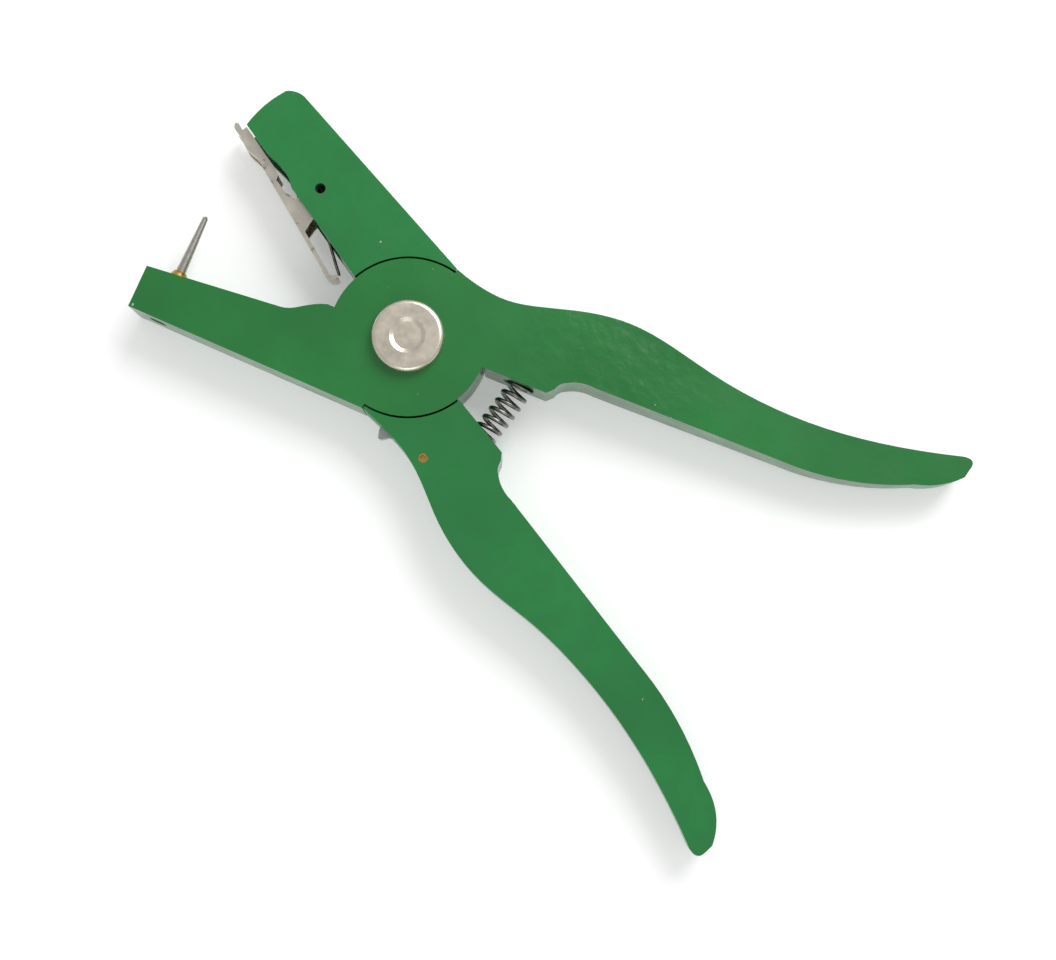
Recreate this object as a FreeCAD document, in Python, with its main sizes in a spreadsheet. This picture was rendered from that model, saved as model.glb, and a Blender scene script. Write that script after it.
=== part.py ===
"""Ear tag applicator: two cast levers on a rivet, a piercing pin on one jaw, a tag clip on the other.

Frame: the origin is on the pivot axis, in the plane that the tool lies on. +Z points up out of the
face with the rivet head, +X runs along the tool towards the jaws, and the tool is drawn fully open.
The pin lever has its jaw at +Y and its grip at -Y. The clip lever crosses it and has the reverse.
"""

import FreeCAD, Part

import math
import os

import Sketcher

App = FreeCAD
Vector = App.Vector
UP = Vector(0, 0, 1)

# Driving dimensions: alias, value (mm or degrees), meaning.
SIZES = [
    ("LeverThickness", 18.0, "both castings, face to face"),
    ("HubRadius", 23.0, "half disc that each lever laps over the other"),
    ("RimGap", 0.6, "radial gap between a disc and the shoulders round it"),
    ("LapGap", 0.3, "axial gap between the two lapped discs"),
    ("StopGap", 0.3, "gap left at the open stop, along the rim"),
    ("RunningGap", 0.05, "radial clearance of a shaft in its hole"),
    ("SeatGap", 0.03, "clearance under a face that seats"),
    ("EdgeRound", 1.2, "cast edge round on jaws and grips"),
    ("GripEndThickness", 10.0, "grip, face to face, at its end"),
    ("GripTaperStart", 56.0, "distance from the pivot where a grip starts to thin"),
    ("GripTaperEnd", 150.0, "distance from the pivot where a grip is thinnest"),
    ("JawTipRound", 3.0, "front edge round of the pin jaw's end"),
    ("RivetHeadRadius", 10.45, "pivot rivet head"),
    ("RivetHeadHeight", 3.6, "pivot rivet head above the lever"),
    ("RivetHeadRound", 1.3, "rounded rim of the rivet head"),
    ("RivetDishRadius", 5.2, "shallow dish in the head"),
    ("RivetDishDepth", 0.5, "depth of that dish"),
    ("RivetShankRadius", 5.0, "rivet shank"),
    ("RivetTailRadius", 8.2, "spread tail of the rivet"),
    ("RivetTailSink", 0.7, "tail below the clip lever's rear face"),
    ("RivetTailHeight", 2.0, "thickness of the spread tail"),
    ("BushingRadius", 7.0, "outside of the pivot bushing"),
    ("RearWasherRadius", 10.0, "washer under the rivet tail"),
    ("RearWasherThickness", 1.2, "washer under the rivet tail"),
    ("ThrustWasherRadius", 12.0, "washer between the lapped discs"),
    ("ThrustRecess", 0.8, "depth of its seat in the pin lever"),
    ("JawFaceOffset", 2.4, "jaw faces pass the pivot axis at this distance"),
    ("PinJawAngle", 19.4, "pin jaw face above the centre line"),
    ("ClipJawAngle", 18.1, "clip jaw face below the centre line"),
    ("JawBackAngle", 12.9, "back edge of the pin jaw above the centre line"),
    ("ClipJawBackAngle", 12.2, "back edge of the clip jaw below the centre line"),
    ("PinJawBackOffset", 24.1, "back edge of the pin jaw passes the pivot axis at this distance"),
    ("ClipJawBackOffset", 23.7, "back edge of the clip jaw passes the pivot axis at this distance"),
    ("PinJawReach", 77.6, "pivot to the end of the pin jaw, along its back"),
    ("ClipJawReach", 78.5, "pivot to the end of the clip jaw, along its face"),
    ("PinArc", 70.1, "radius from the pivot that the pin's axis is tangent to"),
    ("PinAngle", 76.8, "slope of the pin's axis from the centre line"),
    ("PinLength", 20.4, "pin above the jaw face"),
    ("PinRadius", 1.5, "pin above its collar"),
    ("PinTipRadius", 0.85, "rounded tip of the pin"),
    ("PinStemRadius", 2.0, "threaded stem of the pin"),
    ("PinStemLength", 8.0, "stem inside the jaw"),
    ("CollarRadius", 2.6, "tapered collar at the foot of the pin"),
    ("CollarHeight", 2.4, "tapered collar at the foot of the pin"),
    ("PlugRadius", 2.6, "screw that backs up the pin stem"),
    ("PlugLength", 4.0, "screw that backs up the pin stem"),
    ("SpringCentre", 33.3, "return spring axis, distance from the pivot axis"),
    ("SpringRadius", 4.1, "outside of the return spring"),
    ("SpringWire", 1.3, "return spring wire diameter"),
    ("SpringPitch", 2.8, "return spring pitch when open"),
    ("SpringPocketRadius", 4.6, "pockets that hold the return spring"),
    ("SpringPocketDepth", 7.0, "pocket depth below the spring faces"),
    ("SpringFaceAngle", 14.4, "radial spring faces, from the centre line"),
    ("ChannelWidth", 12.0, "channel in the clip jaw, between its walls"),
    ("ChannelDepth", 11.0, "channel in the clip jaw, below its face"),
    ("ChannelLength", 47.0, "channel in the clip jaw, from its tip"),
    ("HingeAlong", 28.0, "clip hinge from the jaw tip, along the face"),
    ("HingeDepth", 6.65, "clip hinge below the jaw face"),
    ("RollPinRadius", 1.5, "clip hinge roll pin"),
    ("RollPinWall", 0.45, "rolled sheet of that pin"),
    ("RollPinSink", 1.6, "roll pin end below the jaw's sides"),
    ("ClipWidth", 11.4, "clip over its two cheeks"),
    ("ClipSheet", 1.2, "clip sheet thickness"),
    ("ClipTailReach", 27.2, "end of the clip's tail from the pivot, along the jaw face"),
    ("ClipTailRise", 6.4, "top of the clip's tail above the jaw face"),
    ("ClipTailWidth", 8.4, "tongue at the clip's tail, narrower than the clip"),
    ("TailRoom", 3.2, "groove in the pin jaw's heel that the tail enters, below the jaw face"),
    ("TailRoomLead", 7.2, "that groove starts this far ahead of the tail's end"),
    ("TailRoomLength", 18.5, "that groove, along the jaw face"),
    ("ClipSlotWidth", 5.6, "slot in the clip for the tag and the pin"),
    ("ClipSlotEnd", 13.0, "closed end of that slot from the jaw tip"),
    ("ClipWire", 0.9, "clip spring wire diameter"),
    ("LatchAlong", 24.5, "latch pivot behind the pivot axis"),
    ("LatchOut", 25.4, "latch pivot beside the pivot axis"),
    ("LatchPinRadius", 1.4, "latch pivot pin"),
    ("LatchThickness", 3.0, "latch plate"),
    ("LatchGap", 0.3, "side clearance of the latch in its slot"),
    ("LatchParkWidth", 11.0, "recess in the pin lever's rim under the latch when open, along the rim"),
    ("LatchNotchWidth", 6.4, "notch in that rim that holds the levers closed, along the rim"),
    ("LatchNotchDepth", 3.8, "recess and notch, below the rim"),
    ("LatchNotchHeight", 5.5, "recess and notch, above the lapped face"),
]

doc = App.newDocument("EarTagApplicator")
sheet = doc.addObject("Spreadsheet::Sheet", "Sizes")
for row, (alias, value, meaning) in enumerate(SIZES, start=1):
    sheet.set("A%d" % row, alias)
    sheet.set("B%d" % row, str(value))
    sheet.setAlias("B%d" % row, alias)
    sheet.set("C%d" % row, meaning)
doc.recompute()


def size(alias):
    """One driving dimension, read from the sheet."""
    return float(sheet.get(alias))


# ---------------------------------------------------------------- helpers

def start_body(label):
    """An empty body whose name and label are those of its sub-part."""
    body = doc.addObject("PartDesign::Body", label)
    body.Label = label
    return body


def origin_plane(body, role):
    for feature in body.Origin.OriginFeatures:
        if feature.Role == role:
            return feature
    raise ValueError(role)


def start_sketch(body, name, role="XY_Plane", offset=None, height=None):
    """A sketch on one of the body's own planes, moved by offset; height is a sheet expression."""
    sketch = body.newObject("Sketcher::SketchObject", name)
    sketch.AttachmentSupport = [(origin_plane(body, role), "")]
    sketch.MapMode = "FlatFace"
    if offset is not None:
        sketch.AttachmentOffset = offset
    if height is not None:
        sketch.setExpression("AttachmentOffset.Base.z", height)
    return sketch


def end_of(sketch, index, point):
    """1 or 2: the end of a sketch edge that lies at the point (arcs always run anticlockwise)."""
    gaps = [(sketch.getPoint(index, end) - point).Length for end in (1, 2)]
    return 1 + gaps.index(min(gaps))


def close_loop(sketch, first, edges):
    """Joins the ends of a chain of edges, from the geometry index first on, into one loop."""
    for number, edge in enumerate(edges):
        index = first + number
        following = first + (number + 1) % len(edges)
        joint = edge.EndPoint if hasattr(edge, "EndPoint") else edge.value(edge.LastParameter)
        ends = end_of(sketch, index, joint), end_of(sketch, following, joint)
        sketch.addConstraint(Sketcher.Constraint("Coincident", index, ends[0], following, ends[1]))


def draw_loop(sketch, edges):
    """Adds a closed chain of curves to the sketch."""
    first = sketch.GeometryCount
    sketch.addGeometry(edges, False)
    close_loop(sketch, first, edges)


def polygon(points):
    """Straight edges round a list of points."""
    ends = points[1:] + points[:1]
    return [Part.LineSegment(a, b) for a, b in zip(points, ends)]


def draw_circle(sketch, centre, radius):
    """A circle at centre (x, y) whose radius follows a sheet expression."""
    value = float(sheet.evalExpression(radius))
    index = sketch.addGeometry(Part.Circle(Vector(centre[0], centre[1], 0), UP, value), False)
    for kind, distance in (("DistanceX", centre[0]), ("DistanceY", centre[1])):
        sketch.addConstraint(Sketcher.Constraint(kind, -1, 1, index, 3, distance))
    bound = sketch.addConstraint(Sketcher.Constraint("Radius", index, value))
    sketch.setExpression("Constraints[%d]" % bound, radius)
    return index


def draw_turned(sketch, corners):
    """A polygon of (radius, height) corners, each a sheet expression that stays bound."""
    values = [[float(sheet.evalExpression(text)) for text in corner] for corner in corners]
    points = [Vector(across, along, 0) for across, along in values]
    draw_loop(sketch, polygon(points))
    for index, (corner, value) in enumerate(zip(corners, values)):
        for kind, text, distance in zip(("DistanceX", "DistanceY"), corner, value):
            bound = sketch.addConstraint(Sketcher.Constraint(kind, -1, 1, index, 1, distance))
            sketch.setExpression("Constraints[%d]" % bound, text)


def add_pad(body, name, sketch, length, midplane=False):
    pad = body.newObject("PartDesign::Pad", name)
    pad.Profile = sketch
    pad.setExpression("Length", length)
    pad.Midplane = midplane
    return pad


def add_pocket(body, name, sketch, length=None, reverse=True):
    """A pocket of a sheet expression's length, or through everything both ways."""
    pocket = body.newObject("PartDesign::Pocket", name)
    pocket.Profile = sketch
    if length is None:
        pocket.Type = "ThroughAll"
        pocket.Midplane = True
    else:
        pocket.setExpression("Length", length)
        pocket.Reversed = reverse
    return pocket


def add_turning(body, name, sketch, kind="Revolution"):
    """A full turn about the sketch's own vertical axis."""
    turning = body.newObject("PartDesign::" + kind, name)
    turning.Profile = sketch
    turning.ReferenceAxis = (sketch, ["V_Axis"])
    turning.Angle = 360
    return turning


def round_edges(body, name, radius, wanted):
    """Rounds the edges of the body's tip for which wanted(edge) is true."""
    doc.recompute()
    base = body.Tip
    names = [
        "Edge%d" % number
        for number, edge in enumerate(base.Shape.Edges, start=1)
        if wanted(edge)
    ]
    fillet = body.newObject("PartDesign::Fillet", name)
    fillet.Base = (base, names)
    fillet.setExpression("Radius", radius)
    return fillet


def turned_part(label, corners, placement=None):
    """A sub-part turned about +Z from (radius, height) corners, then placed."""
    body = start_body(label)
    sketch = start_sketch(body, label + "_profile", "XZ_Plane")
    draw_turned(sketch, corners)
    add_turning(body, label + "_turn", sketch)
    if placement is not None:
        body.Placement = placement
    return body


def polar(radius, degrees):
    """A point at a radius and an angle from +X."""
    angle = math.radians(degrees)
    return Vector(radius * math.cos(angle), radius * math.sin(angle), 0)


def crossing(point, degrees, other, other_degrees):
    """Where two lines in the XY plane meet, each through a point at an angle from +X."""
    along = polar(1, degrees)
    across = polar(1, other_degrees)
    gap = other - point
    spread = along.x * across.y - along.y * across.x
    return point + along * ((gap.x * across.y - gap.y * across.x) / spread)


def line_at(offset, degrees):
    """The point nearest the origin of a line at that distance on its left."""
    return polar(offset, degrees + 90)


def on_circle(foot, degrees, radius):
    """Where the line through its foot, at an angle from +X, leaves a circle about the origin."""
    return foot + polar(math.sqrt(radius ** 2 - foot.Length ** 2), degrees)


def smooth(points):
    """One smooth curve through the points."""
    curve = Part.BSplineCurve()
    curve.interpolate(points)
    return curve


def flat(points):
    """Vectors in the XY plane from (x, y) pairs."""
    return [Vector(x, y, 0) for x, y in points]


# ---------------------------------------------------------------- the two levers

SHOULDER = size("HubRadius") + size("RimGap")
HALF = size("LeverThickness") / 2

# Grip outlines: distance behind the pivot axis and distance beside the centre line.
PIN_GRIP_BACK = [
    (8.6, 24.2), (16.5, 25.6), (27.3, 30.9), (37.8, 36.9), (48.9, 41.2),
    (60.9, 43.0), (77.2, 43.7), (92.8, 45.6), (108.4, 49.4), (130.7, 58.2), (149.0, 68.0),
]
PIN_GRIP_END = [(151.9, 68.3), (152.6, 65.6), (152.7, 63.3), (150.9, 60.4)]
PIN_GRIP_FRONT = [(142.4, 53.0), (129.3, 43.9), (112.6, 36.7), (52.0, 20.1)]
CLIP_GRIP_BACK = [
    (9.8, 25.2), (17.5, 26.7), (27.3, 30.8), (37.8, 37.0), (48.9, 41.7),
    (60.9, 44.1), (77.2, 44.8), (92.8, 46.8), (108.4, 50.5), (130.7, 58.7), (151.2, 69.2),
]
CLIP_GRIP_END = [(154.4, 69.3), (155.5, 67.0), (155.9, 64.6), (153.6, 59.5)]
CLIP_GRIP_FRONT = [(143.3, 51.5), (130.0, 43.6), (115.3, 37.7), (52.0, 20.1)]
NOSE = [(47.6, 18.7), (44.8, 16.6), (43.4, 15.0), (42.9, 12.9), (42.3, 11.9)]


def grip_edges(side, root_degrees, back, end, front):
    """The outline of a grip; side is 1 or -1 for the side of the centre line that it lies on."""
    def placed(points):
        return flat([(-x, side * y) for x, y in points])

    face = size("SpringFaceAngle")
    root = polar(size("HubRadius") - 3, root_degrees)
    shoulder = polar(SHOULDER + 0.7, root_degrees)
    heel = polar(size("HubRadius") - 3, 180 - side * face)
    nose = placed(NOSE)
    lip = polar(math.hypot(*NOSE[-1]) - 1.0, 180 - side * face)
    back = [shoulder] + placed(back)
    end = placed(end)
    front = placed(front)
    return [
        Part.LineSegment(root, back[0]),
        smooth(back),
        smooth([back[-1], end[0], end[1]]),
        Part.LineSegment(end[1], end[2]),
        smooth([end[2], end[3], front[0]]),
        smooth(front[:3]),
        Part.LineSegment(front[2], front[3]),
        smooth([front[3], nose[0], nose[1]]),
        smooth(nose[1:4]),
        smooth([nose[3], nose[4], lip]),
        Part.LineSegment(lip, heel),
        Part.LineSegment(heel, root),
    ]


def grip_thinning():
    """Wedges, in side view, that thin a grip on both faces from its root to its end."""
    start = -size("GripTaperStart")
    end = -size("GripTaperEnd") - 20
    fall = (size("LeverThickness") - size("GripEndThickness")) / 2
    drop = fall * (end - start) / (-size("GripTaperEnd") - start)
    top = size("LeverThickness")
    clear = top + 5
    front = flat([(start, top), (start, clear), (end, clear), (end, top - drop)])
    rear = flat([(start, 0), (end, drop), (end, -5), (start, -5)])
    return front, rear


def on_faces(edge):
    """True where an edge lies in a lever's front or rear side, full or thinned."""
    heights = [vertex.Z for vertex in edge.Vertexes]
    start = size("GripTaperStart")
    run = size("GripTaperEnd") - start
    fall = (size("LeverThickness") - size("GripEndThickness")) / 2
    for vertex in edge.Vertexes:
        depth = max(0.0, (-vertex.X - start) / run * fall)
        rear = abs(vertex.Z - depth) < 0.01
        front = abs(vertex.Z - (size("LeverThickness") - depth)) < 0.01
        if not (rear or front):
            return False
    return len(heights) == 2 and abs(heights[0] - heights[1]) < HALF


def grip_edge(edge):
    """True for the long edges of a grip's front and rear faces."""
    middle = edge.valueAt((edge.FirstParameter + edge.LastParameter) / 2)
    return on_faces(edge) and middle.x < -48 and edge.Length > 1


def lever_blank(body, jaw, grip, disc_height):
    """Jaw and grip at full thickness, the hub disc at half, and room for the other disc."""
    for name, edges in (("jaw", jaw), ("grip", grip)):
        sketch = start_sketch(body, name + "_outline_of_" + body.Label)
        draw_loop(sketch, edges)
        add_pad(body, name + "_of_" + body.Label, sketch, "Sizes.LeverThickness")
        if name == "jaw":
            disc = start_sketch(body, "disc_outline_of_" + body.Label)
            draw_circle(disc, (0, 0), "Sizes.HubRadius")
            add_pad(body, "disc_of_" + body.Label, disc, "Sizes.LeverThickness")
    room = start_sketch(body, "room_outline_of_" + body.Label, height=disc_height)
    draw_circle(room, (0, 0), "Sizes.HubRadius + Sizes.RimGap")
    add_pocket(body, "room_of_" + body.Label, room, "Sizes.LeverThickness / 2 + Sizes.LapGap / 2")


def pin_jaw_edges():
    """The outline of the jaw that carries the piercing pin."""
    back_angle = size("JawBackAngle")
    face_angle = size("PinJawAngle")
    back_foot = line_at(size("PinJawBackOffset"), back_angle)
    face_foot = line_at(size("JawFaceOffset"), face_angle)
    back_end = back_foot + polar(size("PinJawReach"), back_angle)
    tip = crossing(back_end, back_angle + 90, face_foot, face_angle)
    back_root = crossing(back_foot, back_angle, Vector(), PIN_JAW_ROOT)
    heel = [face_foot + polar(x, face_angle) + polar(y, face_angle - 90) for x, y in JAW_HEEL]
    inner_root = polar(size("HubRadius") - 3, HEEL_ANGLE)
    outer_root = polar(size("HubRadius") - 3, PIN_JAW_ROOT)
    return [
        Part.LineSegment(back_root, back_end),
        Part.LineSegment(back_end, tip),
        Part.LineSegment(tip, heel[0]),
        smooth(heel + [polar(SHOULDER + 1.6, HEEL_ANGLE)]),
        Part.LineSegment(polar(SHOULDER + 1.6, HEEL_ANGLE), inner_root),
        Part.LineSegment(inner_root, outer_root),
        Part.LineSegment(outer_root, back_root),
    ]


def clip_jaw_edges():
    """The outline of the jaw that carries the tag clip, with its slightly bowed end."""
    face_angle = -size("ClipJawAngle")
    back_angle = -size("ClipJawBackAngle")
    face_foot = line_at(size("JawFaceOffset"), face_angle)
    back_foot = polar(size("ClipJawBackOffset"), back_angle - 90)
    tip = on_circle(face_foot, face_angle, size("ClipJawReach"))
    bow = tip + polar(8.0, face_angle - 78)
    shoulder = tip + polar(15.1, face_angle - 84)
    back_end = back_foot + polar(size("ClipJawReach") - 5.0, back_angle)
    corner = (shoulder + back_end) * 0.5 + polar(0.6, face_angle - 45)
    back_root = crossing(back_foot, back_angle, Vector(), CLIP_JAW_ROOT)
    inner_root = polar(size("HubRadius") - 3, face_angle + 6)
    outer_root = polar(size("HubRadius") - 3, CLIP_JAW_ROOT)
    face_root = on_circle(face_foot, face_angle, size("HubRadius") - 1)
    return [
        Part.Arc(tip, bow, shoulder),
        Part.Arc(shoulder, corner, back_end),
        Part.LineSegment(back_end, back_root),
        Part.LineSegment(back_root, outer_root),
        Part.LineSegment(outer_root, inner_root),
        Part.LineSegment(inner_root, face_root),
        Part.LineSegment(face_root, tip),
    ]


def face_frame(offset, degrees, height=0.0):
    """A placement with +X along a jaw face, away from the pivot, and +Y square to it."""
    return App.Placement(line_at(offset, degrees) + UP * height, App.Rotation(UP, degrees))


def turned_frame(foot, direction):
    """A placement whose +Z runs along direction from foot."""
    return App.Placement(foot, App.Rotation(UP, direction))


# Hub sectors, degrees from +X, where jaws and grips leave the hub.
STOP_TURN = math.degrees(size("StopGap") / SHOULDER)
PIN_JAW_ROOT = 94.0
CLIP_JAW_ROOT = -88.6
HEEL_ANGLE = 14.2
# The heel of the pin jaw, along its face and out from it.
JAW_HEEL = [(37.6, 0.0), (34.0, 0.9), (30.6, 2.7), (27.6, 4.0)]

THRUST_SEAT = HALF + size("LapGap") / 2 + size("ThrustRecess")
CLIP_FRAME = face_frame(size("JawFaceOffset"), -size("ClipJawAngle"))
PIN_FRAME = face_frame(size("JawFaceOffset"), size("PinJawAngle"))
TIP_ALONG = math.sqrt(size("ClipJawReach") ** 2 - size("JawFaceOffset") ** 2)
HINGE = Vector(TIP_ALONG - size("HingeAlong"), -size("HingeDepth"), 0)

# The piercing pin's axis touches a circle about the pivot and meets the jaw face at its foot.
PIN_DIRECTION = polar(1, -size("PinAngle"))
PIN_FOOT = crossing(
    polar(size("PinArc"), 90 - size("PinAngle")), -size("PinAngle"),
    line_at(size("JawFaceOffset"), size("PinJawAngle")), size("PinJawAngle"),
)
PIN_FRAME_UP = turned_frame(PIN_FOOT + UP * HALF, PIN_DIRECTION)


def along_y(x, y, direction=1):
    """A sketch placement on the XY plane whose vertical axis starts at x, y and runs along Y."""
    return App.Placement(Vector(x, y, HALF), App.Rotation(UP, 0 if direction > 0 else 180))


def bore(body, name, radius, low, high):
    """A round hole on the pivot axis between two heights, each a sheet expression."""
    sketch = start_sketch(body, name + "_of_" + body.Label, "XZ_Plane")
    draw_turned(sketch, [("0", low), (radius, low), (radius, high), ("0", high)])
    return add_turning(body, name + "_cut_of_" + body.Label, sketch, "Groove")


def spring_pocket(body, side):
    """The blind hole in a grip root that takes one end of the return spring."""
    sketch = start_sketch(body, "spring_pocket_of_" + body.Label,
                          offset=along_y(-size("SpringCentre"), 0, side))
    face = "Sizes.SpringCentre * tan(Sizes.SpringFaceAngle * 1 deg)"
    floor = face + " + Sizes.SpringPocketDepth"
    radius = "Sizes.SpringPocketRadius"
    draw_turned(sketch, [("0", "3"), (radius, "3"), (radius, floor), ("0", floor)])
    add_turning(body, "spring_pocket_cut_of_" + body.Label, sketch, "Groove")


def thin_grip(body):
    for name, corners in zip(("front", "rear"), grip_thinning()):
        sketch = start_sketch(body, name + "_thinning_of_" + body.Label, "XZ_Plane")
        draw_loop(sketch, polygon(corners))
        add_pocket(body, name + "_thinning_cut_of_" + body.Label, sketch)


def jaw_edge(edge):
    """True for the long front and rear edges of a jaw, clear of the hub."""
    middle = edge.valueAt((edge.FirstParameter + edge.LastParameter) / 2)
    level = all(abs(v.Z - HALF) > HALF - 0.01 for v in edge.Vertexes)
    return level and middle.x > 20 and math.hypot(middle.x, middle.y) > SHOULDER + 2


def make_pin_lever():
    body = start_body("pin_lever")
    grip = grip_edges(-1, CLIP_JAW_ROOT - STOP_TURN, PIN_GRIP_BACK, PIN_GRIP_END, PIN_GRIP_FRONT)
    lever_blank(body, pin_jaw_edges(), grip, "0")
    body.Tip.Reversed = True

    groove = start_sketch(body, "tail_groove", offset=PIN_FRAME)
    start = size("ClipTailReach") - size("TailRoomLead")
    end = start + size("TailRoomLength")
    floor = size("TailRoom")
    draw_loop(groove, polygon(flat([(start, -9.0), (end, -9.0), (end, floor), (start, floor)])))
    groove.setExpression("AttachmentOffset.Base.z", "Sizes.LeverThickness / 2")
    cut = add_pocket(body, "tail_groove_cut", groove, "Sizes.ChannelWidth + 0.6")
    cut.Midplane = True

    bore(body, "bushing_bore", "Sizes.BushingRadius + Sizes.RunningGap",
         "-1", "Sizes.LeverThickness - 3")
    bore(body, "shank_bore", "Sizes.RivetShankRadius + Sizes.RunningGap",
         "0", "Sizes.LeverThickness + 1")
    bore(body, "thrust_seat", "Sizes.ThrustWasherRadius + 0.2", "-1",
         "Sizes.LeverThickness / 2 + Sizes.LapGap / 2 + Sizes.ThrustRecess")
    spring_pocket(body, -1)

    stem = start_sketch(body, "pin_hole", offset=sketch_up(PIN_FOOT, -90 - size("PinAngle")))
    hole = "Sizes.PinStemRadius + Sizes.RunningGap"
    plug = "Sizes.PlugRadius + Sizes.RunningGap"
    deep = "-Sizes.PinStemLength"
    draw_turned(stem, [("0", "3"), (hole, "3"), (hole, deep), (plug, deep), (plug, "-30"), ("0", "-30")])
    add_turning(body, "pin_hole_cut", stem, "Groove")

    notch = start_sketch(body, "latch_notches",
                         height="Sizes.LeverThickness / 2 + Sizes.LapGap / 2")
    floor = size("HubRadius") - size("LatchNotchDepth")
    for turn, width in ((0.0, "LatchParkWidth"), (CLOSING, "LatchNotchWidth")):
        outward = polar(1, LATCH_TOOTH_ANGLE + turn)
        half = polar(size(width) / 2, LATCH_TOOTH_ANGLE + turn + 90)
        low = outward * floor
        high = outward * (SHOULDER + 2)
        draw_loop(notch, polygon([low - half, high - half, high + half, low + half]))
    add_pocket(body, "latch_notch_cut", notch, "Sizes.LatchNotchHeight")
    thin_grip(body)
    return body


def sketch_up(foot, degrees):
    """A sketch placement at mid thickness whose vertical axis starts at foot, turned by degrees."""
    return App.Placement(foot + UP * HALF, App.Rotation(UP, degrees))


CLOSING = 26.0
LATCH_TOOTH_ANGLE = 113.0


def make_clip_lever():
    body = start_body("clip_lever")
    grip = grip_edges(1, PIN_JAW_ROOT + STOP_TURN, CLIP_GRIP_BACK, CLIP_GRIP_END, CLIP_GRIP_FRONT)
    lever_blank(body, clip_jaw_edges(), grip, "Sizes.LeverThickness")
    body.Tip.Reversed = False

    channel = start_sketch(body, "clip_channel", offset=CLIP_FRAME)
    start = TIP_ALONG - size("ChannelLength")
    depth = -size("ChannelDepth")
    draw_loop(channel, polygon(flat([(start, depth), (TIP_ALONG + 3, depth),
                                     (TIP_ALONG + 3, 3), (start, 3)])))
    channel.setExpression("AttachmentOffset.Base.z", "Sizes.LeverThickness / 2")
    cut = add_pocket(body, "clip_channel_cut", channel, "Sizes.ChannelWidth")
    cut.Midplane = True

    arch = start_sketch(body, "thumb_relief", offset=CLIP_FRAME)
    tip = TIP_ALONG
    crest = flat([(tip - 23.0, 0.2), (tip - 20.6, -0.8), (tip - 17.6, -1.1),
                  (tip - 14.0, -0.7), (tip - 9.5, 0.2)])
    draw_loop(arch, [smooth(crest), Part.LineSegment(crest[-1], crest[0])])
    add_pocket(body, "thumb_relief_cut", arch)

    hinge = start_sketch(body, "clip_hinge_hole", offset=CLIP_FRAME)
    draw_circle(hinge, (HINGE.x, HINGE.y), "Sizes.RollPinRadius + Sizes.RunningGap")
    add_pocket(body, "clip_hinge_cut", hinge)

    bore(body, "bushing_bore", "Sizes.BushingRadius + Sizes.RunningGap",
         "-1", "Sizes.LeverThickness")
    bore(body, "rear_seat", "Sizes.RearWasherRadius + 0.2", "-1",
         "Sizes.RivetTailSink + Sizes.RivetTailHeight + Sizes.RearWasherThickness + 2 * Sizes.SeatGap")
    spring_pocket(body, 1)

    slot = start_sketch(body, "latch_slot", height="Sizes.LeverThickness / 2 + Sizes.LapGap / 2")
    draw_loop(slot, polygon(flat(LATCH_SLOT)))
    add_pocket(body, "latch_slot_cut", slot, "Sizes.LatchThickness + 2 * Sizes.LatchGap")

    pivot = start_sketch(body, "latch_pin_hole")
    draw_circle(pivot, (-size("LatchAlong"), size("LatchOut")),
                "Sizes.LatchPinRadius + Sizes.RunningGap")
    add_pocket(body, "latch_pin_hole_cut", pivot)

    seat = start_sketch(body, "latch_spring_hole",
                        offset=App.Placement(Vector(LATCH_SPRING_X, 0, LATCH_MID), App.Rotation()))
    draw_turned(seat, [("0", "15.4"), ("1.6", "15.4"), ("1.6", "22.5"), ("0", "22.5")])
    add_turning(body, "latch_spring_hole_cut", seat, "Groove")
    thin_grip(body)
    return body


# The latch, drawn in the frame of the tool.
LATCH_MID = HALF + size("LapGap") / 2 + size("LatchGap") + size("LatchThickness") / 2
LATCH_SPRING_X = -20.0
LATCH_SLOT = [(-28.2, 25.4), (-27.2, 28.2), (-24.5, 29.0), (-21.8, 28.2), (-19.0, 26.9), (-16.5, 26.4),
              (-15.0, 31.0), (-3.0, 31.0), (-3.0, 14.0), (-12.0, 18.0), (-24.0, 21.6), (-27.2, 22.6)]
LATCH_OUTLINE = [(-21.6, 23.0), (-12.6, 22.8), (-9.9, 22.3), (-9.0, 22.3), (-8.4, 24.0), (-8.7, 26.0),
                 (-9.9, 28.2), (-10.7, 28.2), (-12.6, 26.2), (-15.0, 25.6), (-21.0, 26.0)]


def make_latch():
    body = start_body("latch")
    blank = start_sketch(body, "latch_boss", height="%f" % (LATCH_MID - size("LatchThickness") / 2))
    draw_circle(blank, (-size("LatchAlong"), size("LatchOut")), "3.0")
    add_pad(body, "latch_boss_pad", blank, "Sizes.LatchThickness")
    arm = start_sketch(body, "latch_arm", height="%f" % (LATCH_MID - size("LatchThickness") / 2))
    inward = flat([(-25.0, 23.6)] + LATCH_OUTLINE + [(-25.0, 27.2)])
    draw_loop(arm, polygon(inward))
    add_pad(body, "latch_arm_pad", arm, "Sizes.LatchThickness")
    hole = start_sketch(body, "latch_eye")
    draw_circle(hole, (-size("LatchAlong"), size("LatchOut")),
                "Sizes.LatchPinRadius + Sizes.RunningGap")
    add_pocket(body, "latch_eye_cut", hole)
    return body


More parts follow.
